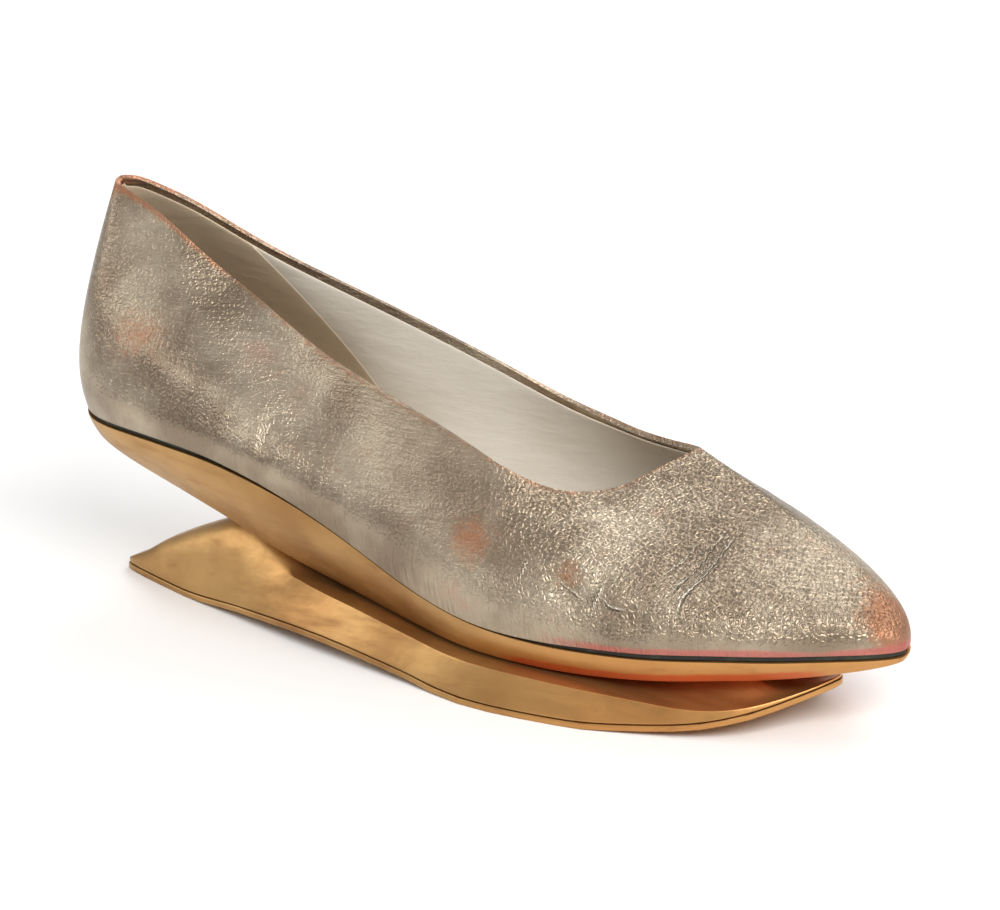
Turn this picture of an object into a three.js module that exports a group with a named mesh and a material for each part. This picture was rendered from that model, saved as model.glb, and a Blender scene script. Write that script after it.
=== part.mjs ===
// Pointed low-cut platform shoe for the right foot, on a carved two-part wooden platform.
// Millimetres. X runs from the back of the heel to the toe, Y towards the inner side of the foot, Z up.
import * as THREE from 'three';

// Sizes of the last and the upper
const LENGTH = 244;          // feather line, back of the heel to the toe
const BALL_WIDTH = 73;       // feather line across the ball
const HEEL_RISE = 51;        // feather line above the floor at the back of the heel
const BALL_RISE = 20.2;      // feather line above the floor at the ball
const BACK_HEIGHT = 57.8;    // top edge above the feather line at the back seam
const TOP_SETBACK = 4.6;      // back of the top edge in front of the back of the feather line
const THROAT = 177;          // point of the throat from the back of the heel
const TOE_SWING = 4;         // toe moved to the inner side
const UPPER_WALL = 1.6;      // leather with its lining

// Sizes of the layers under the foot
const SOCK_THICK = 2;
const SOCK_CLEAR = 0.4;       // edge of the sock inside the wall of the upper
const INSOLE_THICK = 1.2;
const INSOLE_SETBACK = 0.9;  // edge of the insole board behind the feather line
const BOARD_DEPTH = 23.5;    // deepest part of the wooden sole board
const TREAD_THICK = 1.6;
const TREAD_PROUD = 0.2;
const SEAT_GAP = 0.3;        // between faces that touch on the real shoe

// Sizes of the lower wooden base
const BASE_START = 8;        // rear point from the back of the heel
const BASE_LENGTH = 220;
const BASE_HEIGHT = 23;      // top of the rear part where it meets the sole board
const BASE_REAR_Y = -3.8;
const BASE_FRONT_Y = -1.4;
const TOE_SPRING = 11.4;     // underside of the front point above the floor
const WAIST_ARCH = 3.4;      // underside above the floor at the waist

const AROUND = 72;           // stations round each outline
const UP = 12;               // rows from the feather line to the top edge

// Feather line: share of the length, half widths as shares of the ball width, height between ball and heel
const FEATHER = rows(['at', 'outer', 'inner', 'high'], [
  [0.00, 0.000, 0.000, 1.00],
  [0.04, 0.291, 0.210, 0.96],
  [0.12, 0.374, 0.309, 0.97],
  [0.20, 0.412, 0.312, 0.95],
  [0.28, 0.426, 0.262, 0.84],
  [0.34, 0.410, 0.200, 0.67],
  [0.40, 0.400, 0.164, 0.45],
  [0.46, 0.414, 0.196, 0.24],
  [0.52, 0.452, 0.298, 0.12],
  [0.58, 0.482, 0.412, 0.05],
  [0.66, 0.491, 0.508, 0.03],
  [0.75, 0.477, 0.508, 0.06],
  [0.86, 0.353, 0.416, 0.09],
  [0.95, 0.175, 0.232, 0.09],
  [1.00, 0.000, 0.000, 0.08],
]);

// Ribs of the upper, outer side. at: foot of the rib on the feather line. x: top of the rib, from back to
// throat. y: shares of the ball width. z: height over the straight line from heel rise to ball rise, share of
// the back height. belly and rise: how far the lower part swells out and climbs. reach and drop: how far the
// upper part leans out and falls.
const OUTER_RIBS = rows(['at', 'x', 'y', 'z', 'belly', 'rise', 'reach', 'drop'], [
  [0.00, 0.000, 0.011, 1.000, 0.085, 0.25, 0.11, 0.40],
  [0.04, 0.018, -0.045, 0.996, 0.085, 0.25, 0.13, 0.40],
  [0.12, 0.088, -0.036, 0.940, 0.080, 0.25, 0.16, 0.38],
  [0.25, 0.238, -0.037, 0.755, 0.080, 0.22, 0.22, 0.28],
  [0.40, 0.459, -0.168, 0.641, 0.085, 0.26, 0.14, 0.32],
  [0.52, 0.633, -0.273, 0.636, 0.080, 0.28, 0.09, 0.32],
  [0.64, 0.773, -0.312, 0.590, 0.070, 0.26, 0.11, 0.26],
  [0.75, 0.867, -0.230, 0.522, 0.065, 0.25, 0.20, 0.16],
  [0.86, 0.924, -0.093, 0.543, 0.055, 0.22, 0.38, 0.18],
  [0.95, 0.968, 0.060, 0.636, 0.040, 0.20, 0.54, 0.23],
  [1.00, 1.000, 0.196, 0.706, 0.030, 0.19, 0.58, 0.27],
]);

// Ribs of the upper, inner side, with the same columns
const INNER_RIBS = rows(['at', 'x', 'y', 'z', 'belly', 'rise', 'reach', 'drop'], [
  [0.00, 0.000, 0.011, 1.000, 0.085, 0.25, 0.11, 0.40],
  [0.04, 0.018, 0.060, 1.008, 0.085, 0.25, 0.13, 0.40],
  [0.12, 0.088, 0.129, 0.962, 0.080, 0.25, 0.14, 0.38],
  [0.25, 0.238, 0.223, 0.816, 0.080, 0.22, 0.10, 0.30],
  [0.40, 0.459, 0.303, 0.706, 0.130, 0.22, 0.04, 0.30],
  [0.52, 0.633, 0.362, 0.608, 0.100, 0.28, 0.05, 0.28],
  [0.64, 0.762, 0.362, 0.570, 0.060, 0.28, 0.12, 0.24],
  [0.75, 0.846, 0.337, 0.578, 0.055, 0.27, 0.20, 0.15],
  [0.86, 0.910, 0.312, 0.605, 0.050, 0.22, 0.36, 0.18],
  [0.95, 0.962, 0.268, 0.652, 0.036, 0.20, 0.50, 0.22],
  [1.00, 1.000, 0.196, 0.706, 0.030, 0.19, 0.58, 0.27],
]);

// Sole board: depth under its top and how far its sides draw in, both shares of the greatest depth
const BOARD = rows(['at', 'depth', 'inset'], [
  [0.00, 0.03, 0.00],
  [0.06, 0.31, 0.18],
  [0.15, 0.64, 0.38],
  [0.30, 1.00, 0.54],
  [0.37, 0.88, 0.46],
  [0.46, 0.58, 0.28],
  [0.60, 0.35, 0.16],
  [0.75, 0.30, 0.15],
  [0.90, 0.23, 0.12],
  [0.96, 0.15, 0.08],
  [1.00, 0.06, 0.03],
]);

// Base: share of its length, half widths, ridge height and inset, top height, ledge inside the ridge and how
// full the ledge is. Widths, inset and ledge are shares of the ball width, heights shares of the base height.
const BASE = rows(['at', 'outer', 'inner', 'ridge', 'inset', 'top', 'ledge', 'full'], [
  [0.00, 0.000, 0.000, 0.02, 0.000, 0.04, 0.000, 0.60],
  [0.03, 0.056, 0.060, 0.11, 0.004, 0.19, 0.024, 0.70],
  [0.06, 0.090, 0.096, 0.24, 0.010, 0.39, 0.050, 0.76],
  [0.15, 0.182, 0.150, 0.44, 0.035, 0.80, 0.090, 0.78],
  [0.20, 0.226, 0.180, 0.50, 0.050, 0.95, 0.110, 0.74],
  [0.27, 0.290, 0.228, 0.49, 0.070, 1.10, 0.120, 0.62],
  [0.35, 0.356, 0.258, 0.38, 0.080, 1.20, 0.120, 0.42],
  [0.50, 0.446, 0.254, 0.34, 0.060, 1.20, 0.115, 0.26],
  [0.62, 0.518, 0.462, 0.38, 0.040, 1.20, 0.110, 0.20],
  [0.74, 0.492, 0.530, 0.35, 0.028, 1.20, 0.120, 0.20],
  [0.80, 0.440, 0.520, 0.27, 0.022, 1.10, 0.150, 0.22],
  [0.86, 0.380, 0.460, 0.16, 0.014, 0.80, 0.170, 0.26],
  [0.93, 0.277, 0.290, 0.06, 0.006, 0.22, 0.130, 0.30],
  [0.97, 0.136, 0.146, 0.03, 0.003, 0.06, 0.050, 0.40],
  [1.00, 0.000, 0.000, 0.02, 0.000, 0.04, 0.000, 0.50],
]);

// Underside: share of the base length, share of the waist arch, share of the toe spring
const UNDERSIDE = rows(['at', 'arch', 'spring'], [
  [0.00, 0.0, 0.00],
  [0.11, 0.0, 0.00],
  [0.22, 0.6, 0.00],
  [0.35, 1.0, 0.00],
  [0.48, 0.5, 0.00],
  [0.57, 0.0, 0.00],
  [0.72, 0.0, 0.00],
  [0.86, 0.0, 0.16],
  [0.93, 0.0, 0.47],
  [1.00, 0.0, 1.00],
]);

function rows(names, table) {
  return table.map((row) => Object.fromEntries(names.map((name, i) => [name, row[i]])));
}

// Smooth curve through one column of a table; by the turn, so that ends come out round, or by the share
function curve(table, name, byTurn = true) {
  const key = (at) => (byTurn ? Math.acos(1 - 2 * at) : at);
  const t = table.map((row) => key(row.at));
  const v = table.map((row) => row[name]);
  const n = t.length;
  const h = [];
  const d = [];
  for (let i = 0; i < n - 1; i += 1) {
    h.push(t[i + 1] - t[i]);
    d.push((v[i + 1] - v[i]) / h[i]);
  }
  const m = new Array(n).fill(0);
  for (let i = 1; i < n - 1; i += 1) {
    const w1 = 2 * h[i] + h[i - 1];
    const w2 = h[i] + 2 * h[i - 1];
    m[i] = d[i - 1] * d[i] > 0 ? (w1 + w2) / (w1 / d[i - 1] + w2 / d[i]) : 0;
  }
  m[0] = endSlope(h[0], h[1], d[0], d[1]);
  m[n - 1] = endSlope(h[n - 2], h[n - 3], d[n - 2], d[n - 3]);
  return (at) => {
    const u = Math.min(Math.max(key(Math.min(Math.max(at, 0), 1)), t[0]), t[n - 1]);
    let i = 0;
    while (i < n - 2 && u > t[i + 1]) i += 1;
    const s = (u - t[i]) / h[i];
    const a = (1 + 2 * s) * (1 - s) * (1 - s);
    const b = s * (1 - s) * (1 - s) * h[i];
    const c = s * s * (3 - 2 * s);
    const e = s * s * (s - 1) * h[i];
    return a * v[i] + b * m[i] + c * v[i + 1] + e * m[i + 1];
  };
}

function endSlope(h0, h1, d0, d1) {
  const m = ((2 * h0 + h1) * d0 - h0 * d1) / (h0 + h1);
  if (m * d0 <= 0) return 0;
  if (d0 * d1 <= 0 && Math.abs(m) > 3 * Math.abs(d0)) return 3 * d0;
  return m;
}

const share = (turn) => (1 - Math.cos(turn)) / 2;
const turnOf = (k) => (2 * Math.PI * k) / AROUND;

// Heights that every layer shares
const featherHigh = curve(FEATHER, 'high', false);
const featherZ = (x) => BALL_RISE + (HEEL_RISE - BALL_RISE) * featherHigh(x / LENGTH);
const topLineZ = (at) => HEEL_RISE + (BALL_RISE - HEEL_RISE) * at;
const boardDepth = curve(BOARD, 'depth', false);
const boardInset = curve(BOARD, 'inset', false);
const insoleTop = (x) => featherZ(x) - SEAT_GAP;
const boardTop = (x) => insoleTop(x) - INSOLE_THICK - SEAT_GAP;
const boardFloor = (x) => boardTop(x) - BOARD_DEPTH * boardDepth(x / LENGTH);
const archShare = curve(UNDERSIDE, 'arch', false);
const springShare = curve(UNDERSIDE, 'spring', false);
const baseShare = (x) => (x - BASE_START) / BASE_LENGTH;
const groundZ = (x) => WAIST_ARCH * archShare(baseShare(x)) + TOE_SPRING * springShare(baseShare(x));

// Closed outlines: station 0 at the back, then the outer side, the front and the inner side
const featherOuter = curve(FEATHER, 'outer');
const featherInner = curve(FEATHER, 'inner');
function featherPoint(k) {
  const turn = turnOf(k);
  const s = share(turn);
  const half = turn <= Math.PI ? -featherOuter(s) : featherInner(s);
  const swing = TOE_SWING * Math.max(0, (s - 0.5) / 0.5) ** 2;
  return [s * LENGTH, half * BALL_WIDTH + swing];
}

const baseOuter = curve(BASE, 'outer');
const baseInner = curve(BASE, 'inner');
function basePoint(k) {
  const turn = turnOf(k);
  const s = share(turn);
  const half = turn <= Math.PI ? -baseOuter(s) : baseInner(s);
  const centre = BASE_REAR_Y + (BASE_FRONT_Y - BASE_REAR_Y) * s;
  return [BASE_START + s * BASE_LENGTH, half * BALL_WIDTH + centre];
}

// Outline moved inwards, square to itself
function inward(point, k, distance) {
  const here = point(k);
  const before = point((k + AROUND - 1) % AROUND);
  const after = point((k + 1) % AROUND);
  const tx = after[0] - before[0];
  const ty = after[1] - before[1];
  const size = Math.hypot(tx, ty);
  return [here[0] - (ty / size) * distance, here[1] + (tx / size) * distance];
}

// Closed mesh from faces over a list of points, with equal points joined and flat slivers dropped
function mesh(points, faces) {
  const place = new Map();
  const positions = [];
  const use = points.map((p) => {
    const name = p.map((c) => Math.round(c * 2000)).join(' ');
    if (!place.has(name)) {
      place.set(name, positions.length / 3);
      positions.push(...p);
    }
    return place.get(name);
  });
  const index = [];
  for (const face of faces) {
    const f = face.map((i) => use[i]);
    for (const tri of f.length === 4 ? [[f[0], f[1], f[2]], [f[0], f[2], f[3]]] : [f]) {
      if (tri[0] !== tri[1] && tri[1] !== tri[2] && tri[2] !== tri[0]) index.push(...tri);
    }
  }
  const geometry = new THREE.BufferGeometry();
  geometry.setAttribute('position', new THREE.Float32BufferAttribute(positions, 3));
  geometry.setIndex(index);
  geometry.computeVertexNormals();
  return geometry;
}

// Solid from cross rings. side(k, j) gives point j of the half ring at station k of the outline; both
// halves of a ring share their station, and the first and last rings close to a line.
function layer(count, side) {
  const points = [];
  const half = AROUND / 2;
  for (let k = 0; k <= half; k += 1) {
    for (let j = 0; j < count; j += 1) points.push(side(k, j));
    for (let j = count - 1; j >= 0; j -= 1) points.push(side((AROUND - k) % AROUND, j));
  }
  const ring = 2 * count;
  const faces = [];
  for (let k = 0; k < half; k += 1) {
    for (let j = 0; j < ring; j += 1) {
      const a = k * ring + j;
      const b = k * ring + ((j + 1) % ring);
      faces.push([a, b, b + ring, a + ring]);
    }
  }
  return mesh(points, faces);
}

// Upper: outer skin from the ribs, inner skin one wall inside it, joined along both edges
function ribCurves(table) {
  const names = Object.keys(table[0]).filter((name) => name !== 'at');
  return Object.fromEntries(names.map((name) => [name, curve(table, name)]));
}
const outerRib = ribCurves(OUTER_RIBS);
const innerRib = ribCurves(INNER_RIBS);

function skinPoint(k, v) {
  const turn = turnOf(k);
  const rib = turn <= Math.PI ? outerRib : innerRib;
  const s = share(turn);
  const [fx, fy] = featherPoint(k);
  const fz = featherZ(fx);
  const top = new THREE.Vector3(
    TOP_SETBACK + (THROAT - TOP_SETBACK) * rib.x(s),
    BALL_WIDTH * rib.y(s),
    topLineZ(rib.x(s)) + BACK_HEIGHT * rib.z(s),
  );
  const swell = inward(featherPoint, k, -BALL_WIDTH * rib.belly(s));
  const foot = new THREE.Vector3(fx, fy, fz);
  const low = new THREE.Vector3(swell[0], swell[1], fz + BACK_HEIGHT * rib.rise(s));
  const out = new THREE.Vector3(fx - top.x, fy - top.y, 0).normalize();
  const high = top.clone().addScaledVector(out, BALL_WIDTH * rib.reach(s));
  high.z -= BACK_HEIGHT * rib.drop(s);
  return new THREE.CubicBezierCurve3(foot, low, high, top).getPoint(v);
}

function upperGeometry() {
  const skin = [];
  for (let k = 0; k < AROUND; k += 1) {
    for (let j = 0; j <= UP; j += 1) skin.push(skinPoint(k, j / UP));
  }
  const at = (k, j) => skin[((k + AROUND) % AROUND) * (UP + 1) + j];
  const lining = [];
  for (let k = 0; k < AROUND; k += 1) {
    for (let j = 0; j <= UP; j += 1) {
      const along = at(k + 1, j).clone().sub(at(k - 1, j));
      const up = at(k, Math.min(j + 1, UP)).clone().sub(at(k, Math.max(j - 1, 0)));
      const normal = along.cross(up).normalize();
      if (j === 0) normal.setZ(0).normalize();
      lining.push(at(k, j).clone().addScaledVector(normal, -UPPER_WALL));
    }
  }
  const points = [...skin, ...lining].map((p) => [p.x, p.y, p.z]);
  const faces = [];
  const id = (k, j, inner) => ((k % AROUND) * (UP + 1)) + j + (inner ? skin.length : 0);
  for (let k = 0; k < AROUND; k += 1) {
    for (let j = 0; j < UP; j += 1) {
      faces.push([id(k, j), id(k + 1, j), id(k + 1, j + 1), id(k, j + 1)]);
      faces.push([id(k, j, true), id(k, j + 1, true), id(k + 1, j + 1, true), id(k + 1, j, true)]);
    }
    faces.push([id(k, UP), id(k + 1, UP), id(k + 1, UP, true), id(k, UP, true)]);
    faces.push([id(k, 0, true), id(k + 1, 0, true), id(k + 1, 0), id(k, 0)]);
  }
  return mesh(points, faces);
}

// Flat layers that follow the feather line, between two heights
function plate(point, setback, topOf, floorOf) {
  return layer(2, (k, j) => {
    const [x, y] = inward(point, k, setback);
    return [x, y, j === 0 ? topOf(x) : floorOf(x)];
  });
}

// Sole board: its side turns under in a soft curve to a flat underside
const BOARD_ROUND = 6;
const BOARD_CURVE = 1.5;
function boardGeometry() {
  return layer(BOARD_ROUND + 1, (k, j) => {
    const [fx] = featherPoint(k);
    const fall = j / BOARD_ROUND;
    const draw = BOARD_DEPTH * boardInset(fx / LENGTH) * fall ** BOARD_CURVE;
    const [x, y] = inward(featherPoint, k, draw);
    return [x, y, boardTop(x) * (1 - fall) + boardFloor(x) * fall];
  });
}

// Base: flared side up to a ridge, a ledge inside it and a top that carries the sole board
const ridgeShare = curve(BASE, 'ridge', false);
const ridgeInset = curve(BASE, 'inset', false);
const topShare = curve(BASE, 'top', false);
const ledgeShare = curve(BASE, 'ledge', false);
const ledgeFull = curve(BASE, 'full', false);
function baseTop(x) {
  const own = groundZ(x) + TREAD_THICK + SEAT_GAP + BASE_HEIGHT * topShare(baseShare(x));
  return Math.min(own, boardFloor(x) - SEAT_GAP);
}
function baseRidge(x) {
  const own = groundZ(x) + TREAD_THICK + SEAT_GAP + BASE_HEIGHT * ridgeShare(baseShare(x));
  return Math.min(own, baseTop(x) - SEAT_GAP);
}
function baseGeometry() {
  return layer(4, (k, j) => {
    const s = share(turnOf(k));
    const inset = BALL_WIDTH * ridgeInset(s);
    const ledge = BALL_WIDTH * ledgeShare(s);
    const [x, y] = inward(basePoint, k, [inset + ledge, inset + ledge / 2, inset, 0][j]);
    const floor = groundZ(x) + TREAD_THICK + SEAT_GAP;
    const middle = baseRidge(x) + (baseTop(x) - baseRidge(x)) * ledgeFull(s);
    return [x, y, [baseTop(x), middle, baseRidge(x), floor][j]];
  });
}

const PIECES = {
  upper: [upperGeometry(), 0x968976, 0.38, 0.85],
  insole: [
    plate(featherPoint, UPPER_WALL + SOCK_CLEAR, (x) => featherZ(x) + SOCK_THICK, featherZ),
    0xbeb4a0, 0.75, 0,
  ],
  insole_board: [
    plate(featherPoint, INSOLE_SETBACK, insoleTop, (x) => insoleTop(x) - INSOLE_THICK),
    0x232d1e, 0.7, 0,
  ],
  sole_board: [boardGeometry(), 0xa57846, 0.42, 0.7],
  platform_base: [baseGeometry(), 0xa57846, 0.42, 0.7],
  tread_sole: [
    plate(basePoint, -TREAD_PROUD, (x) => groundZ(x) + TREAD_THICK, groundZ),
    0xa8803f, 0.5, 0.6,
  ],
};

const shoe = new THREE.Group();
const bounds = new THREE.Box3();
for (const [name, [geometry, color, roughness, metalness]] of Object.entries(PIECES)) {
  const piece = new THREE.Mesh(geometry, new THREE.MeshStandardMaterial({ color, roughness, metalness }));
  piece.name = name;
  geometry.computeBoundingBox();
  bounds.union(geometry.boundingBox);
  shoe.add(piece);
}

// The origin lies on the floor, under the middle of the whole shoe
for (const piece of shoe.children) {
  piece.position.set(-(bounds.min.x + bounds.max.x) / 2, -(bounds.min.y + bounds.max.y) / 2, -bounds.min.z);
}

export default shoe;
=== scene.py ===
import math

import bmesh
import bpy
import numpy as np
from mathutils import Matrix, Vector


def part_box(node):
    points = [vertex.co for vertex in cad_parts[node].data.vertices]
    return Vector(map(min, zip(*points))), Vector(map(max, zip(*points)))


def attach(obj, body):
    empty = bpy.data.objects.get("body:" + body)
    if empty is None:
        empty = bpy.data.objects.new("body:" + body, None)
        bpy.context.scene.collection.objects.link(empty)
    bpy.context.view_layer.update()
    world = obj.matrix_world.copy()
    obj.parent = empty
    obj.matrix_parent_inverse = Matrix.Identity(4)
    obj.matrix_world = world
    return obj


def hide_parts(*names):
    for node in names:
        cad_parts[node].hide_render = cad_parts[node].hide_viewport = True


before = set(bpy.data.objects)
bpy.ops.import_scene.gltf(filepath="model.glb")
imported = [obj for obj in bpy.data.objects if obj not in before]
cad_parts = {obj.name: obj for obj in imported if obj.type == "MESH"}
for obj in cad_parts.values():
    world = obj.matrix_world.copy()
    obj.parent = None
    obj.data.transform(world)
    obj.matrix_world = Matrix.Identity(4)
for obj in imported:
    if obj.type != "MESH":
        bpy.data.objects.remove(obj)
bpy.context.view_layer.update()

# Camera: the photographed angle on the outer side of the right shoe, a third of the way round to the toe
# and a little above, rolled by half a degree. It frames the one shoe.
CAMERA_TURN = math.radians(32.97)
CAMERA_RISE = math.radians(20.42)
CAMERA_ROLL = math.radians(0.49)
CAMERA_AIM = (125, 0, 45)
CAMERA_AWAY = 1.724
CAMERA_LENS = 239
MIDDLE_LINE = 0.0007
heel_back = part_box("sole_board")[0].x


def place(x, y, z):
    """Point from millimetres: x from the back of the heel, y from the middle line, z from the floor."""
    return Vector((heel_back + x / 1000, y / 1000 + MIDDLE_LINE, z / 1000))


flat = math.cos(CAMERA_RISE)
back = Vector((math.sin(CAMERA_TURN) * flat, -math.cos(CAMERA_TURN) * flat, math.sin(CAMERA_RISE)))
right = Vector((math.cos(CAMERA_TURN), math.sin(CAMERA_TURN), 0))
over = back.cross(right)
camera_right = right * math.cos(CAMERA_ROLL) - over * math.sin(CAMERA_ROLL)
camera_up = right * math.sin(CAMERA_ROLL) + over * math.cos(CAMERA_ROLL)
camera = bpy.data.objects.new("camera", bpy.data.cameras.new("camera"))
bpy.context.scene.collection.objects.link(camera)
axes = Matrix((camera_right, camera_up, back)).transposed()
camera.matrix_world = Matrix.Translation(place(*CAMERA_AIM) + back * CAMERA_AWAY) @ axes.to_4x4()
camera.data.lens = CAMERA_LENS
camera.data.shift_y = 0.03
camera.data.clip_end = 20
bpy.context.scene.camera = camera

# Floor: plain pale paper, flat and wide enough to fill the picture.
FLOOR_SIZE = 6
bpy.ops.object.select_all(action="DESELECT")
bpy.ops.mesh.primitive_plane_add(size=FLOOR_SIZE, location=(0, 0, 0))
floor = bpy.context.object
floor.name = "floor"
paper = bpy.data.materials.new("floor_paper")
paper.use_nodes = True
paper_shader = paper.node_tree.nodes["Principled BSDF"]
paper_shader.inputs["Base Color"].default_value = (0.86, 0.855, 0.845, 1)
paper_shader.inputs["Roughness"].default_value = 0.9
floor.data.materials.append(paper)

# Light: a wide soft box high on the toe side, a smaller one high behind the shoe and a weak one low on the
# heel side. The room is dim at the height of the shoe, bright some way up the walls and dim overhead.
for name, spot, aim, wide, high, power in (
    ("toe_box", (1.05, -0.55, 1.05), (0.03, 0, 0.03), 1.3, 0.7, 24),
    ("back_box", (-0.1, 1.15, 1.15), (0, 0, 0.03), 1.2, 0.6, 10),
    ("heel_box", (-1.25, -0.55, 0.75), (0, 0, 0.05), 0.5, 0.9, 5),
):
    lamp = bpy.data.objects.new(name, bpy.data.lights.new(name, "AREA"))
    bpy.context.scene.collection.objects.link(lamp)
    lamp.location = spot
    lamp.rotation_euler = (Vector(aim) - Vector(spot)).to_track_quat("-Z", "Y").to_euler()
    lamp.data.shape = "RECTANGLE"
    lamp.data.size = wide
    lamp.data.size_y = high
    lamp.data.energy = power

room = bpy.data.worlds.new("room")
bpy.context.scene.world = room
room.use_nodes = True
nodes, links = room.node_tree.nodes, room.node_tree.links
sky_place = nodes.new("ShaderNodeTexCoord")
sky_split = nodes.new("ShaderNodeSeparateXYZ")
sky_ramp = nodes.new("ShaderNodeValToRGB")
sky_ramp.color_ramp.elements[0].position = 0.0
sky_ramp.color_ramp.elements[0].color = (0.20, 0.195, 0.185, 1)
sky_ramp.color_ramp.elements[1].position = 0.95
sky_ramp.color_ramp.elements[1].color = (0.42, 0.42, 0.42, 1)
for at, level in ((0.25, 0.24), (0.5, 0.85), (0.68, 0.85)):
    sky_ramp.color_ramp.elements.new(at).color = (level, level, level, 1)
links.new(sky_place.outputs["Generated"], sky_split.inputs["Vector"])
links.new(sky_split.outputs["Z"], sky_ramp.inputs["Fac"])
links.new(sky_ramp.outputs["Color"], nodes["Background"].inputs["Color"])
nodes["Background"].inputs["Strength"].default_value = 1.0
bpy.context.scene.view_settings.view_transform = "Standard"

# Upper: champagne metallic leather lasted over a pointed last, its top edge turned in over the lining.
# Worked from the frame's shell: its outer side keeps the folded edge, and creases are pressed in by place.


def worked_copy(node, name):
    """Copy of a CAD node's mesh as one joined mesh, mostly of four-sided faces."""
    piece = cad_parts[node].copy()
    piece.data = piece.data.copy()
    piece.name = name
    piece.data.name = name
    for key in list(piece.keys()):
        del piece[key]
    piece.parent = None
    piece.data.materials.clear()
    bpy.context.scene.collection.objects.link(piece)
    bpy.ops.object.select_all(action="DESELECT")
    piece.select_set(True)
    bpy.context.view_layer.objects.active = piece
    bpy.ops.object.mode_set(mode="EDIT")
    bpy.ops.mesh.select_all(action="SELECT")
    bpy.ops.mesh.remove_doubles(threshold=0.00001)
    any_angle = math.radians(180)
    bpy.ops.mesh.tris_convert_to_quads(
        face_threshold=any_angle, shape_threshold=any_angle, topology_influence=1.5)
    bpy.ops.object.mode_set(mode="OBJECT")
    return piece


def skins(piece, sharp):
    """Faces in groups that no edge sharper than the angle divides."""
    mesh = bmesh.new()
    mesh.from_mesh(piece.data)
    mesh.faces.ensure_lookup_table()
    group = [-1] * len(mesh.faces)
    groups = []
    for start in mesh.faces:
        if group[start.index] >= 0:
            continue
        found = [start]
        group[start.index] = len(groups)
        for face in found:
            for edge in face.edges:
                if len(edge.link_faces) == 2 and edge.calc_face_angle(0) < sharp:
                    for other in edge.link_faces:
                        if group[other.index] < 0:
                            group[other.index] = len(groups)
                            found.append(other)
        height = sum(face.calc_center_median().z for face in found) / len(found)
        area = sum(face.calc_area() for face in found)
        groups.append((area, height, {face.index for face in found}))
    mesh.free()
    return sorted(groups, key=lambda group: -group[0])


def keep_faces(piece, kept):
    """Deletes every face that isn't in the set, with the edges and points that only it used."""
    mesh = bmesh.new()
    mesh.from_mesh(piece.data)
    mesh.faces.ensure_lookup_table()
    bmesh.ops.delete(mesh, geom=[face for face in mesh.faces if face.index not in kept], context="FACES")
    mesh.to_mesh(piece.data)
    mesh.free()


def finish_with(piece, kind, **values):
    """Adds one modifier with its values and applies it."""
    modifier = piece.modifiers.new(kind.lower(), kind)
    for key, value in values.items():
        setattr(modifier, key, value)
    bpy.ops.object.select_all(action="DESELECT")
    piece.select_set(True)
    bpy.context.view_layer.objects.active = piece
    bpy.ops.object.modifier_apply(modifier=modifier.name)


def round_edges(piece, sharp, width, segments=2):
    """Bevels every edge sharper than the angle."""
    mesh = bmesh.new()
    mesh.from_mesh(piece.data)
    edges = [e for e in mesh.edges if len(e.link_faces) == 2 and e.calc_face_angle(0) > sharp]
    bmesh.ops.bevel(
        mesh, geom=edges, offset=width, segments=segments, profile=0.6, affect="EDGES", clamp_overlap=True)
    mesh.to_mesh(piece.data)
    mesh.free()


def points_of(piece):
    """Points of a mesh as an array, one row for each."""
    found = np.empty(len(piece.data.vertices) * 3)
    piece.data.vertices.foreach_get("co", found)
    return found.reshape(-1, 3)


def normals_of(piece):
    """Normals of a mesh at its points, one row for each."""
    found = np.empty(len(piece.data.vertices) * 3)
    piece.data.vertices.foreach_get("normal", found)
    return found.reshape(-1, 3)


def line_distance(points, pieces):
    """Distance of each point from the nearest of some short straight pieces of line."""
    nearest = np.full(len(points), np.inf)
    for start, end in pieces:
        start, run = np.array(start), np.array(end) - np.array(start)
        share = np.clip((points - start) @ run / max(run @ run, 1e-12), 0, 1)
        nearest = np.minimum(nearest, np.linalg.norm(points - start - share[:, None] * run, axis=1))
    return nearest


def set_attribute(piece, name, values):
    """Keeps one number for each point of a mesh, for a material to read."""
    attribute = piece.data.attributes.new(name, "FLOAT", "POINT")
    attribute.data.foreach_set("value", np.asarray(values, dtype=np.float32))


def add(material, kind, settings=None, **inputs):
    """Adds one shader node. An input is a value or a node's output, by name, or by number as i0 or i1."""
    made = material.node_tree.nodes.new("ShaderNode" + kind)
    for key, value in (settings or {}).items():
        setattr(made, key, value)
    for key, value in inputs.items():
        numbered = key[0] == "i" and key[1:].isdigit()
        socket = made.inputs[int(key[1:])] if numbered else made.inputs[key.replace("_", " ")]
        if isinstance(value, bpy.types.NodeSocket):
            material.node_tree.links.new(value, socket)
        else:
            socket.default_value = value
    return made


def new_material(name):
    material = bpy.data.materials.new(name)
    material.use_nodes = True
    return material, material.node_tree.nodes["Principled BSDF"]


def stretched(material, scale, turned=(0, 0, 0)):
    """Object coordinates, stretched and turned."""
    coordinates = add(material, "TexCoord").outputs["Object"]
    return add(material, "Mapping", Vector=coordinates, Scale=scale, Rotation=turned).outputs["Vector"]


def ramp(material, value, low, high, to_low=0.0, to_high=1.0):
    """Smooth step of a value between two limits."""
    made = add(material, "MapRange", {"interpolation_type": "SMOOTHSTEP"}, Value=value)
    for key, number in (("From Min", low), ("From Max", high), ("To Min", to_low), ("To Max", to_high)):
        made.inputs[key].default_value = number
    return made.outputs["Result"]


def times(material, a, b):
    return add(material, "Math", {"operation": "MULTIPLY"}, i0=a, i1=b).outputs[0]


def plus(material, a, b):
    return add(material, "Math", {"operation": "ADD"}, i0=a, i1=b).outputs[0]


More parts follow.
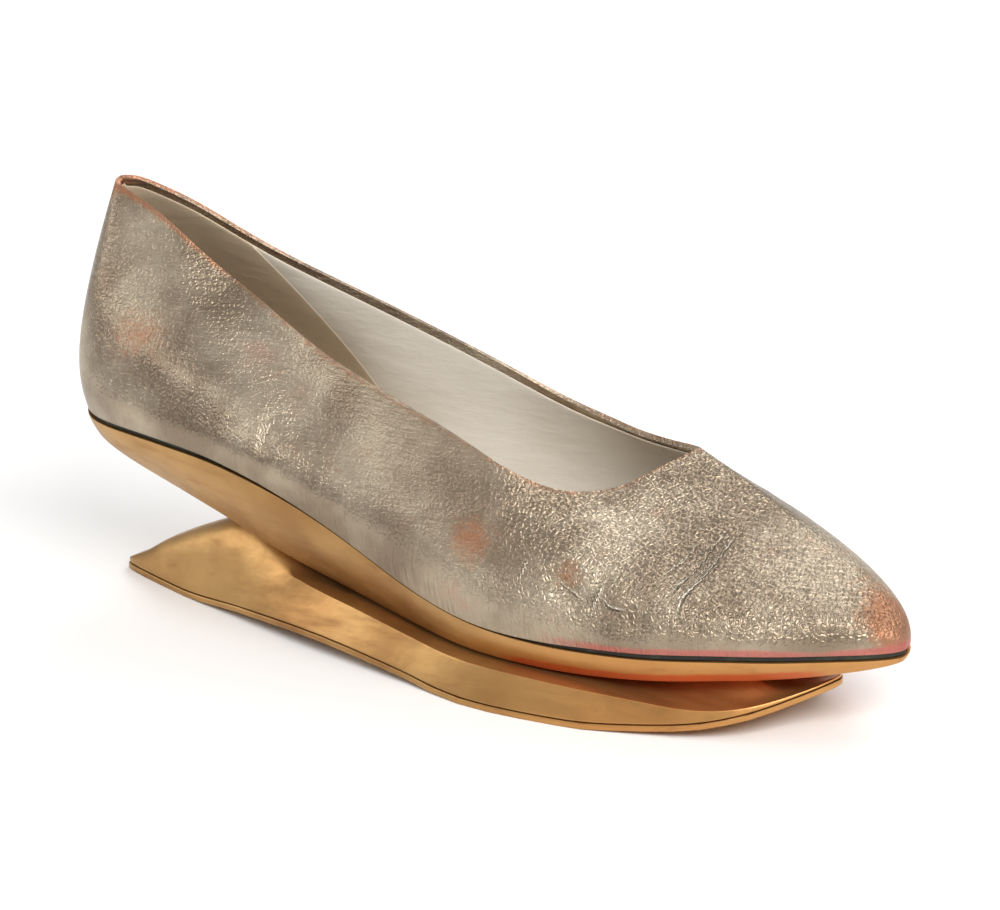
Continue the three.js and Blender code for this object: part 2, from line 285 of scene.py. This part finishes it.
def mixed(material, amount, a, b):
    made = add(material, "Mix", {"data_type": "RGBA"})
    for socket, value in ((made.inputs[0], amount), (made.inputs[6], a), (made.inputs[7], b)):
        if isinstance(value, bpy.types.NodeSocket):
            material.node_tree.links.new(value, socket)
        else:
            socket.default_value = value
    return made.outputs[2]


def bump(material, height, strength, distance, under=None):
    inputs = {"Height": height, "Strength": strength, "Distance": distance}
    if under is not None:
        inputs["Normal"] = under
    return add(material, "Bump", **inputs).outputs["Normal"]


# An edge sharper than this divides the shell's sides from its rims. The top rim lies above the given height
RIM_ANGLE = math.radians(50)
TOP_RIM_ABOVE = 0.045
LEATHER_EDGE_ROUND = 0.00045
upper = worked_copy("upper", "upper_leather")
groups = skins(upper, RIM_ANGLE)
outside, inside = groups[0][2], groups[1][2]
rims = set().union(*[group[2] for group in groups[2:]])
top_rim = set().union(*[faces for area, height, faces in groups[2:] if height > TOP_RIM_ABOVE])

# The faces of the inner side that touch the top rim stay as leather, turned in over the lining.
mesh = bmesh.new()
mesh.from_mesh(upper.data)
mesh.faces.ensure_lookup_table()
turned_in = {
    other.index
    for index in top_rim
    for edge in mesh.faces[index].edges
    for other in edge.link_faces
    if other.index in inside
}
bottom_rim = rims - top_rim


def edges_between(mesh, faces, others):
    """Ends of each edge that divides one set of faces from another."""
    return [
        [v.co.copy() for v in edge.verts]
        for edge in mesh.edges
        if len(edge.link_faces) == 2
        and {face.index in faces for face in edge.link_faces} == {True, False}
        and {face.index in others for face in edge.link_faces} == {True, False}
    ]


top_line = edges_between(mesh, outside, top_rim)
feather_line = edges_between(mesh, outside, bottom_rim)
mesh.free()
lining = upper.copy()
lining.data = upper.data.copy()
bpy.context.scene.collection.objects.link(lining)
keep_faces(upper, outside | rims | turned_in)
round_edges(upper, RIM_ANGLE, LEATHER_EDGE_ROUND)
finish_with(upper, "SUBSURF", levels=3, render_levels=3)

# The lower edge is drawn down over the board at the waist, where no gap shows, and less at heel and ball.
# Millimetres down: everywhere, more at the waist and less from the ball on
DRAWN, DRAWN_AT_WAIST, SPARED_AT_BALL = 0.35, 1.25, 0.25
DRAWN_REACH = 5
WAIST_MIDDLE, WAIST_HALF = 112, 48
BALL_START, BALL_RUN = 165, 20
points = points_of(upper)
to_feather = line_distance(points, feather_line) * 1000
forward = (points[:, 0] - heel_back) * 1000
at_waist = np.exp(-(((forward - WAIST_MIDDLE) / WAIST_HALF) ** 4))
at_ball = np.clip((forward - BALL_START) / BALL_RUN, 0, 1)
drawn = DRAWN + DRAWN_AT_WAIST * at_waist - SPARED_AT_BALL * at_ball
points[:, 2] -= drawn * np.exp(-((to_feather / DRAWN_REACH) ** 2)) / 1000

# Soft folds, listed in millimetres on the shoe: points, half width and depth. A fold with a minus
# depth is a ridge.
FOLDS = (
    (((164, -33.5, 36.5), (172, -34.8, 32.4), (178.8, -34.8, 29.8), (186.8, -33.2, 29.8)), 3.0, 0.9),
    (((175.3, -30.9, 38), (174.6, -33.4, 34.5)), 2.4, 0.8),
    (((176.1, -33.1, 34.7), (183.2, -32.8, 32.5)), 2.0, 0.5),
    (((188, -31, 34), (194, -22, 41), (197, -8, 47)), 3.5, 0.5),
    (((18, -30, 66), (40, -33, 64), (62, -31, 60)), 5.0, 0.6),
    (((14, -29, 77), (40, -30, 72), (66, -26, 66)), 6.0, -0.6),
    (((71, -30.5, 55.2), (71.4, -26.6, 61)), 2.2, 0.5),
    (((138, -33, 40), (150, -33.5, 37), (162, -33, 37)), 5.0, 0.5),
    (((60, 24, 66), (80, 24, 60), (100, 27, 54)), 5.0, 0.5),
    (((196, 22, 46), (199, 27, 38)), 2.5, 0.5),
)


def bent(points, normals, folds):
    """Points pressed in along soft troughs, with a low ridge on either side of each."""
    moved = np.zeros(len(points))
    for line, half_width, depth in folds:
        line = [place(*p) for p in line]
        away = line_distance(points, list(zip(line, line[1:]))) * 1000 / half_width
        moved += depth / 1000 * (0.35 * np.exp(-((away - 1.9) ** 2) / 0.7) - np.exp(-away * away))
    return points + normals * moved[:, None]


points = bent(points, normals_of(upper), FOLDS)
upper.data.vertices.foreach_set("co", points.ravel())
upper.data.update()

# Sharp cracks of the metal film, as lines on the shoe, each shown with a painted highlight beside it and
# painted shade in it: points in millimetres, and strength
CRACKS = (
    (((196.4, -29.5, 30.5), (196.4, -27.8, 33.5), (196.3, -24.9, 36.7), (197.8, -19.9, 39.9),
      (198.6, -12.1, 43.7), (199, -3.3, 47.1)), 1.0),
    (((192.5, -25.5, 36.5), (195.1, -19.2, 41.2), (195.6, -12.7, 44.3), (196.3, -3.6, 47.7)), 0.9),
    (((188, -24.5, 38.8), (191.6, -17.5, 43), (192.4, -9.5, 46.5)), 0.5),
    (((196.7, 8, 51.8), (197.6, 13.1, 51.4), (199.2, 18, 48.5)), 0.6),
    (((175.6, -31, 38.5), (174.6, -33.4, 34.5), (173.9, -35, 30.8)), 0.9),
    (((176.1, -33.1, 34.7), (179.2, -33.6, 32.9), (183.2, -32.8, 32.5)), 0.9),
    (((163.5, -33, 36.5), (168, -33.7, 35), (173, -34.8, 33.4)), 0.6),
    (((154, -31, 41.5), (152.6, -33.6, 37), (152.8, -34.6, 34)), 0.7),
    (((71, -30.5, 55.2), (71.2, -28.6, 57.4), (71.4, -26.6, 59.8)), 0.7),
    (((8, -17, 95), (14, -18, 94.4), (20, -17.5, 93.6)), 0.7),
    (((14, -20, 87), (22, -20.5, 86), (28, -19.5, 85)), 0.5),
    (((180, -12, 52.5), (184, -17, 49), (190, -21, 44.5)), 0.4),
    (((197, 24, 45), (198.5, 28, 40), (201, 30.5, 34)), 0.8),
    (((201, 21, 46), (203, 26, 41), (206, 29, 35)), 0.6),
)


def signed_distance(points, normals, line):
    """Distance to a line, minus on one side, and how far along the line the nearest place is, 0 to 1."""
    line = [np.array(place(*p)) for p in line]
    lengths = [np.linalg.norm(b - a) for a, b in zip(line, line[1:])]
    nearest, signed, share = np.full(len(points), np.inf), np.zeros(len(points)), np.zeros(len(points))
    done = 0.0
    for a, b, length in zip(line, line[1:], lengths):
        run = (b - a) / length
        at = np.clip((points - a) @ run, 0, length)
        off = points - a - at[:, None] * run
        away = np.linalg.norm(off, axis=1)
        side = np.sign(np.einsum("ij,ij->i", np.cross(normals, run), off))
        closer = away < nearest
        nearest[closer] = away[closer]
        signed[closer] = (away * side)[closer]
        share[closer] = ((done + at) / sum(lengths))[closer]
        done += length
    return signed * 1000, share


normals = normals_of(upper)
crack_side, crack_depth = np.full(len(points), 9.0), np.zeros(len(points))
for line, strength in CRACKS:
    signed, share = signed_distance(points, normals, line)
    closer = np.abs(signed) < np.abs(crack_side)
    crack_side[closer] = signed[closer]
    crack_depth[closer] = (strength * np.clip(4 * share * (1 - share) + 0.1, 0, 1))[closer]

# Rubbed places, where the metal film has gone and copper-brown leather shows: place and size in
# millimetres, and amount. The top edge is rubbed all along and most at the heel, and pink shows in a narrow
# band over the feather line from the ball to the toe.
RUBS = (
    (136.6, -32.2, 42.4, 7, 0.75),
    (166.2, -31.8, 39, 5, 0.6),
    (23.5, -20.2, 73.3, 9, 0.45),
    (30, -24, 80, 8, 0.3),
    (88.4, -26.3, 54.6, 8, 0.25),
    (244, 4, 27, 9, 1.0),
    (243, 4, 32, 7, 0.5),
    (0, 0, 107, 7, 1.0),
    (240, 7, 38, 12, 0.35),
    (236, 8, 44, 12, 0.3),
)
to_top = line_distance(points, top_line) * 1000
to_feather = line_distance(points, feather_line) * 1000
forward = (points[:, 0] - heel_back) * 1000
at_heel = np.exp(-((forward / 35) ** 2))
rub = (0.45 + 0.5 * at_heel) * np.exp(-((to_top / 1.7) ** 2))
for x, y, z, size, amount in RUBS:
    away = np.linalg.norm(points - np.array(place(x, y, z)), axis=1) * 1000 / size
    rub += amount * np.exp(-(away ** 2))
pink = np.clip((forward - 158) / 22, 0, 1) * np.exp(-((np.maximum(to_feather - 0.6, 0) / 1.5) ** 2))
vamp = np.clip((forward - 130) / 35, 0, 1)
for name, values in (
    ("to_top", to_top),
    ("to_feather", to_feather),
    ("rub", rub),
    ("pink", pink),
    ("vamp", vamp),
    ("crack_side", crack_side),
    ("crack_depth", crack_depth),
):
    set_attribute(upper, name, values)


def attribute(material, name):
    """Number that the mesh keeps at each point."""
    return add(material, "Attribute", {"attribute_name": name}).outputs["Fac"]


def noise(material, vector, scale, detail=4.0, rough=0.55):
    """Cloudy pattern from 0 to 1, finer with a bigger scale."""
    made = add(material, "TexNoise", Vector=vector, Scale=scale, Detail=detail, Roughness=rough)
    return made.outputs["Fac"]


def unsigned(material, value):
    return add(material, "Math", {"operation": "ABSOLUTE"}, i0=value).outputs[0]


leather, shader = new_material("metallic_leather")
plain = stretched(leather, (1, 1, 1))
cloud = noise(leather, plain, 34, 4)
speck = noise(leather, plain, 520, 3)
fleck = plus(leather, speck, -0.5)
rub_amount = ramp(leather, plus(leather, attribute(leather, "rub"), times(leather, fleck, 0.9)), 0.15, 0.85)
patches = times(leather, plus(leather, cloud, -0.5), 2.4)
pink_amount = ramp(leather, plus(leather, attribute(leather, "pink"), patches), 0.25, 0.9)
film = mixed(leather, ramp(leather, cloud, 0.36, 0.66), (0.255, 0.195, 0.135, 1), (0.46, 0.385, 0.285, 1))
worn = ramp(leather, noise(leather, plain, 95, 5, 0.65), 0.56, 0.74, 0.0, 0.45)
film = mixed(leather, worn, film, (0.34, 0.215, 0.145, 1))
film = mixed(leather, times(leather, rub_amount, 0.85), film, (0.37, 0.165, 0.085, 1))
film = mixed(leather, times(leather, pink_amount, 0.85), film, (0.48, 0.15, 0.125, 1))

# Painted highlight on a bright rim beside each crack and painted shade in it; a bump also lifts the rim and
# sinks the crack
side = attribute(leather, "crack_side")
depth = attribute(leather, "crack_depth")
wander = plus(leather, side, times(leather, plus(leather, noise(leather, plain, 260, 2), -0.5), 0.9))
crack_groove_and_shade = ramp(leather, unsigned(leather, wander), 0.0, 0.45, 1.0, 0.0)
crack_ridge_and_highlight = ramp(leather, unsigned(leather, plus(leather, wander, -0.55)), 0.0, 0.4, 1.0, 0.0)
# Painted shade in each crack, then a painted highlight on the rim beside it
film = mixed(leather, times(leather, times(leather, crack_groove_and_shade, depth), 0.75), film, (0.07, 0.05, 0.035, 1))
film = mixed(leather, times(leather, times(leather, crack_ridge_and_highlight, depth), 0.8), film, (0.85, 0.80, 0.66, 1))
leather.node_tree.links.new(film, shader.inputs["Base Color"])
shader.inputs["Metallic"].default_value = 0.9
satin = ramp(leather, attribute(leather, "to_feather"), 2.0, 9.0, 1.0, 0.0)
rough = plus(leather, ramp(leather, cloud, 0.25, 0.75, 0.27, 0.39), times(leather, rub_amount, 0.12))
leather.node_tree.links.new(rough, shader.inputs["Roughness"])

# Grain: pebbles on the vamp, fine lengthways wrinkles near the top edge and upright ones lower on the side
soft = bump(leather, noise(leather, plain, 46, 2), 1.0, 0.0013)
stir = add(leather, "TexNoise", Vector=plain, Scale=300.0, Detail=2.0).outputs["Color"]
shift = (0.0013, 0.0013, 0.0013)
stirred = add(leather, "VectorMath", {"operation": "MULTIPLY_ADD"}, i0=stir, i1=shift, i2=plain).outputs[0]
lengthways = noise(leather, stretched(leather, (170, 170, 1000), (0, math.radians(24), 0)), 1.0, 4, 0.62)
upright = noise(leather, stretched(leather, (950, 300, 150)), 1.0, 4, 0.62)
low_down = ramp(leather, attribute(leather, "to_top"), 20, 32)
wrinkles = mixed(leather, low_down, lengthways, upright)
fine = bump(leather, wrinkles, 0.75, 0.00075, soft)
cells = add(leather, "TexVoronoi", {"feature": "DISTANCE_TO_EDGE"}, Vector=stirred, Scale=760.0)
pebble = ramp(leather, cells.outputs["Distance"], 0.0, 0.3)
amount = plus(leather, times(leather, attribute(leather, "vamp"), 0.75), 0.25)
amount = times(leather, amount, plus(leather, times(leather, satin, -0.8), 1.0))
grained = bump(leather, times(leather, pebble, amount), 0.8, 0.00032, fine)
lifted = plus(leather, times(leather, crack_ridge_and_highlight, 0.6), times(leather, crack_groove_and_shade, -1.0))
cracked = bump(leather, times(leather, lifted, depth), 0.9, 0.0005, grained)
leather.node_tree.links.new(cracked, shader.inputs["Normal"])
upper.data.materials.append(leather)
bpy.ops.object.select_all(action="DESELECT")
upper.select_set(True)
bpy.context.view_layer.objects.active = upper
bpy.ops.object.shade_smooth()
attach(upper, "root")
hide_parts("upper")

# Lining: thin cream leather in the forepart and a tan one round the heel, butted at a slanting seam.
# It lies just inside the upper and ends a little below the turned-in top edge.
LINING_THICK = 0.0006
LINING_DROP = 0.0022
EDGE_REACH = 0.0035
lining.name = "upper_lining"
lining.data.name = "upper_lining"
keep_faces(lining, inside)
mesh = bmesh.new()
mesh.from_mesh(lining.data)
mesh.normal_update()
upper_edge = [
    vertex
    for vertex in mesh.verts
    if vertex.is_boundary and line_distance(np.array([vertex.co]), top_line)[0] < EDGE_REACH
]
for vertex in upper_edge:
    below = [edge.other_vert(vertex) for edge in vertex.link_edges if not edge.is_boundary]
    if below:
        lower = min(below, key=lambda other: other.co.z)
        vertex.co = vertex.co.lerp(lower.co, min(0.7, LINING_DROP / (lower.co - vertex.co).length))
for vertex in mesh.verts:
    vertex.co += vertex.normal * LINING_THICK
mesh.to_mesh(lining.data)
mesh.free()
finish_with(lining, "SOLIDIFY", thickness=LINING_THICK, offset=-1)
finish_with(lining, "SUBSURF", levels=2, render_levels=2)
set_attribute(lining, "to_top", line_distance(points_of(lining), top_line) * 1000)
lining_leather, shader = new_material("lining_leather")
plain = stretched(lining_leather, (1, 1, 1))
parts = add(lining_leather, "SeparateXYZ", Vector=plain)
SEAM_TOP = place(44, 19, 87)
SEAM_SLOPE = 1.05
slope = plus(lining_leather, times(lining_leather, parts.outputs["Z"], SEAM_SLOPE), parts.outputs["X"])
seam = plus(lining_leather, slope, -(SEAM_TOP.x + SEAM_SLOPE * SEAM_TOP.z))
heel_part = ramp(lining_leather, seam, -0.0003, 0.0003, 1.0, 0.0)
# Painted highlight: a lighter band along each side of the seam
seam_highlight = ramp(lining_leather, unsigned(lining_leather, seam), 0.0002, 0.0009, 0.7, 0.0)
cloud = noise(lining_leather, plain, 45, 4)
cream = mixed(lining_leather, cloud, (0.50, 0.45, 0.37, 1), (0.64, 0.60, 0.52, 1))
tan = mixed(lining_leather, cloud, (0.36, 0.28, 0.185, 1), (0.52, 0.42, 0.30, 1))
stain = ramp(lining_leather, noise(lining_leather, plain, 110, 5, 0.65), 0.52, 0.75, 0.0, 0.35)
tan = mixed(lining_leather, stain, tan, (0.30, 0.27, 0.20, 1))
cut_edge = ramp(lining_leather, attribute(lining_leather, "to_top"), 2.2, 3.2, 0.65, 0.0)
shown = mixed(lining_leather, heel_part, cream, tan)
shown = mixed(lining_leather, seam_highlight, shown, (0.66, 0.56, 0.42, 1))
shown = mixed(lining_leather, cut_edge, shown, (0.80, 0.62, 0.45, 1))
lining_leather.node_tree.links.new(shown, shader.inputs["Base Color"])
shader.inputs["Roughness"].default_value = 0.6
seam_step = bump(lining_leather, heel_part, 0.8, 0.0006)
rubbed = noise(lining_leather, stretched(lining_leather, (60, 60, 240), (0, math.radians(28), 0)), 1.0, 4)
rippled = bump(lining_leather, rubbed, 0.35, 0.0012, seam_step)
pored = bump(lining_leather, noise(lining_leather, plain, 800, 2), 0.25, 0.0002, rippled)
lining_leather.node_tree.links.new(pored, shader.inputs["Normal"])
lining.data.materials.append(lining_leather)
bpy.ops.object.shade_smooth()
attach(lining, "root")
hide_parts("upper")

# Insole: a cream leather sock over thin padding, cut to the inside of the upper and glued in, its edge
# rounded. It takes the lining's leather, and only the part under the opening is seen.
SOCK_EDGE_ROUND = 0.0006
insole = worked_copy("insole", "insole_sock")
round_edges(insole, math.radians(50), SOCK_EDGE_ROUND)
finish_with(insole, "SUBSURF", levels=2, render_levels=2)
insole.data.materials.append(lining_leather)
bpy.ops.object.shade_smooth()
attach(insole, "root")
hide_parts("insole")

# Insole board: the board that the upper is lasted over, its edge coloured near-black with a green cast. It
# is seen as a thin line between leather and wood.
board_edge, shader = new_material("board_edge")
plain = stretched(board_edge, (1, 1, 1))
near_black_edge = mixed(board_edge, ramp(board_edge, noise(board_edge, plain, 140, 4), 0.45, 0.7),
                (0.012, 0.011, 0.008, 1), (0.030, 0.044, 0.020, 1))
board_edge.node_tree.links.new(near_black_edge, shader.inputs["Base Color"])
shader.inputs["Roughness"].default_value = 0.62
pressed = noise(board_edge, stretched(board_edge, (300, 300, 1400)), 1.0, 4)
board_edge.node_tree.links.new(bump(board_edge, pressed, 0.5, 0.0003), shader.inputs["Normal"])
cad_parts["insole_board"].data.materials.clear()
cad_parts["insole_board"].data.materials.append(board_edge)

# Sole board: wood carved like a shallow hull under the foot, coated and gilded, rubbed through to the
# red ground along its lower edge at the forefoot.
BOARD_EDGE_ROUND = 0.0007
RED_START, RED_START_RUN = 140, 15
RED_END, RED_END_RUN = 232, 12
RED_HEIGHT = 2.6
SLICE = 3
board = worked_copy("sole_board", "sole_board_gilded")
round_edges(board, math.radians(40), BOARD_EDGE_ROUND)
finish_with(board, "SUBSURF", levels=2, render_levels=2)

# Height of each point above the lowest one in its slice of the board's length, which places the red edge
points = points_of(board)
forward = (points[:, 0] - heel_back) * 1000
slices = np.floor(forward / SLICE).astype(int)
slices -= slices.min()
lowest = np.full(slices.max() + 1, np.inf)
np.minimum.at(lowest, slices, points[:, 2])
above = (points[:, 2] - lowest[slices]) * 1000
fade_in = np.clip((forward - RED_START) / RED_START_RUN, 0, 1)
fade_out = np.clip((RED_END - forward) / RED_END_RUN, 0, 1)
set_attribute(board, "low_edge", fade_in * fade_out * np.exp(-((above / RED_HEIGHT) ** 4)))
gilding, shader = new_material("gilded_wood")
plain = stretched(gilding, (1, 1, 1))
streak = noise(gilding, stretched(gilding, (25, 320, 320)), 1.0, 4)
cloud = noise(gilding, plain, 30, 4)
gold = mixed(gilding, ramp(gilding, cloud, 0.3, 0.75), (0.33, 0.17, 0.058, 1), (0.55, 0.33, 0.125, 1))
along = add(gilding, "SeparateXYZ", Vector=plain).outputs["X"]
forepart = ramp(gilding, along, place(120, 0, 0).x, place(185, 0, 0).x)
gold = mixed(gilding, times(gilding, forepart, 0.55), gold, (0.60, 0.27, 0.08, 1))
gold = mixed(gilding, ramp(gilding, streak, 0.55, 0.8, 0.0, 0.5), gold, (0.30, 0.13, 0.05, 1))
low_edge = plus(gilding, attribute(gilding, "low_edge"), times(gilding, plus(gilding, cloud, -0.5), 0.9))
gold = mixed(gilding, ramp(gilding, low_edge, 0.25, 0.8, 0.0, 0.8), gold, (0.56, 0.10, 0.035, 1))
gilding.node_tree.links.new(gold, shader.inputs["Base Color"])
shader.inputs["Metallic"].default_value = 0.85
gilding.node_tree.links.new(ramp(gilding, streak, 0.3, 0.8, 0.34, 0.5), shader.inputs["Roughness"])
gilding.node_tree.links.new(
    bump(gilding, noise(gilding, plain, 260, 4), 0.25, 0.0004, bump(gilding, streak, 0.15, 0.0004)),
    shader.inputs["Normal"])
board.data.materials.append(gilding)
bpy.ops.object.shade_smooth()
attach(board, "root")
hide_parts("sole_board")

# Platform base: the lower block of the same gilded wood, pointed at both ends, with a soft ridge. It
# carries the sole board under the foot and stands free of it behind and in front.
BASE_EDGE_ROUND = 0.0006
base_block = worked_copy("platform_base", "platform_base_gilded")
round_edges(base_block, math.radians(35), BASE_EDGE_ROUND)
finish_with(base_block, "SUBSURF", levels=2, render_levels=2)
base_block.data.materials.append(gilding)
bpy.ops.object.shade_smooth()
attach(base_block, "root")
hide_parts("platform_base")

# Tread sole: thin leather glued under the base and cut to its outline, its edge painted gold like the
# wood above it.
TREAD_EDGE_ROUND = 0.0003
tread = worked_copy("tread_sole", "tread_sole_leather")
round_edges(tread, math.radians(50), TREAD_EDGE_ROUND)
tread.data.materials.append(gilding)
bpy.ops.object.select_all(action="DESELECT")
tread.select_set(True)
bpy.ops.object.shade_smooth_by_angle(angle=math.radians(40))
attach(tread, "root")
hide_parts("tread_sole")
